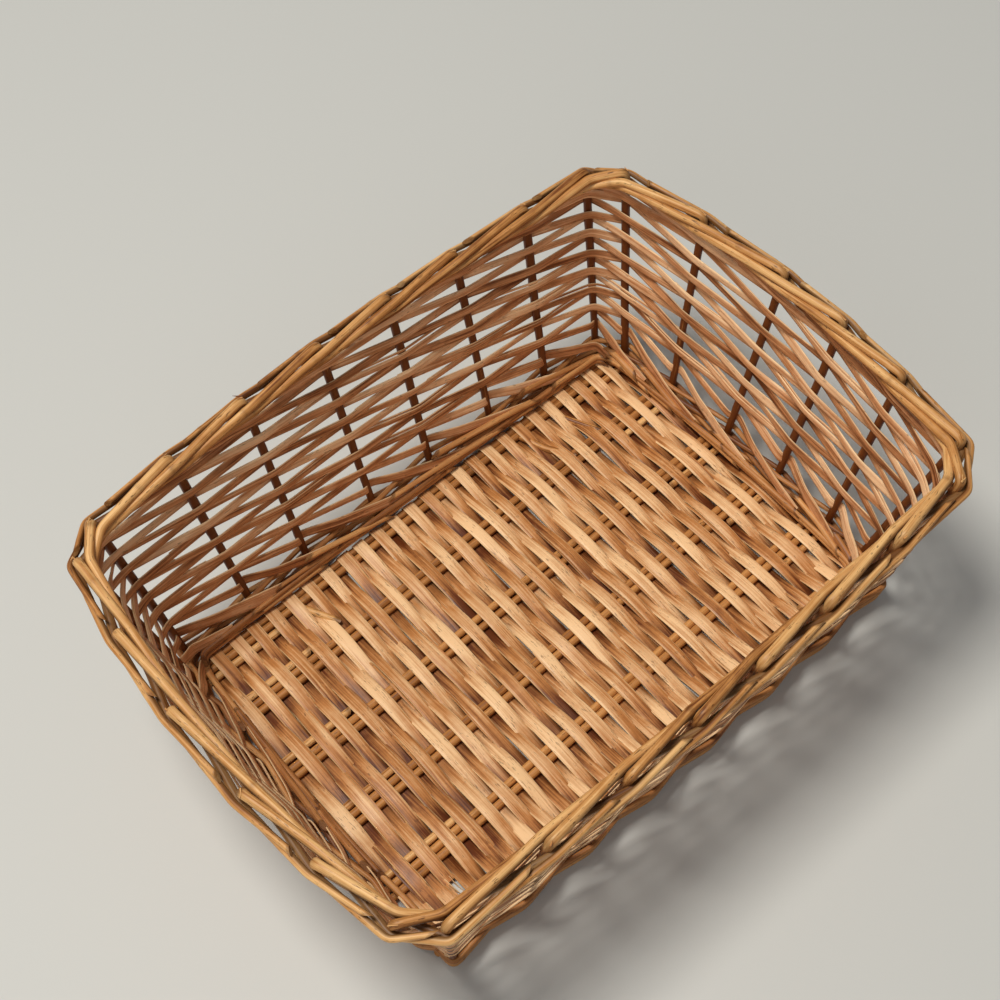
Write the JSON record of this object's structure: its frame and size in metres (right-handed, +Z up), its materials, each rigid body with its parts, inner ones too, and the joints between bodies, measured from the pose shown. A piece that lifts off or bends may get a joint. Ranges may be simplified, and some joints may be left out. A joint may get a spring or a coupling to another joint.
{
  "type": "bread basket",
  "caption": "Rectangular open woven willow bread basket with outward-leaning sides, a rolled rod border and a flat woven base.",
  "frame": {"origin": "middle of the base on the surface the basket stands on", "axes": "+Z up, +X along the long side, +Y along the short side"},
  "size_m": [0.4011, 0.2978, 0.1406],
  "materials": {
    "base_stick_willow": "satin varnished willow rod, orange tan",
    "split_willow_base": "satin varnished split willow, honey with pale edges",
    "split_willow_sides": "satin varnished split willow, honey brown",
    "fine_rod_willow": "satin varnished thin willow rod, brown",
    "stake_willow": "satin varnished willow rod, golden honey"
  },
  "bodies": {
    "root": {"base_sticks_1": "base_stick_willow", "base_sticks_2": "base_stick_willow", "base_sticks_3": "base_stick_willow", "base_sticks_4": "base_stick_willow", "base_sticks_5": "base_stick_willow", "base_sticks_6": "base_stick_willow", "base_strips_left": "split_willow_base", "base_strips_middle": "split_willow_base", "base_strips_right": "split_willow_base", "stake_far_long_1": "stake_willow", "stake_far_long_2": "stake_willow", "stake_far_long_3": "stake_willow", "stake_far_long_4": "stake_willow", "stake_far_long_5": "stake_willow", "stake_far_long_6": "stake_willow", "stake_far_long_7": "stake_willow", "stake_far_long_8": "stake_willow", "stake_left_short_1": "stake_willow", "stake_left_short_2": "stake_willow", "stake_left_short_3": "stake_willow", "stake_left_short_4": "stake_willow", "stake_left_short_5": "stake_willow", "stake_left_short_6": "stake_willow", "stake_near_long_1": "stake_willow", "stake_near_long_2": "stake_willow", "stake_near_long_3": "stake_willow", "stake_near_long_4": "stake_willow", "stake_near_long_5": "stake_willow", "stake_near_long_6": "stake_willow", "stake_near_long_7": "stake_willow", "stake_near_long_8": "stake_willow", "stake_right_short_1": "stake_willow", "stake_right_short_2": "stake_willow", "stake_right_short_3": "stake_willow", "stake_right_short_4": "stake_willow", "stake_right_short_5": "stake_willow", "stake_right_short_6": "stake_willow", "wale_far_long": "fine_rod_willow", "wale_left_short": "fine_rod_willow", "wale_near_long": "fine_rod_willow", "wale_right_short": "fine_rod_willow", "weavers_far_long": "split_willow_sides", "weavers_left_short": "split_willow_sides", "weavers_near_long": "split_willow_sides", "weavers_right_short": "split_willow_sides"}
  },
  "joints": []
}
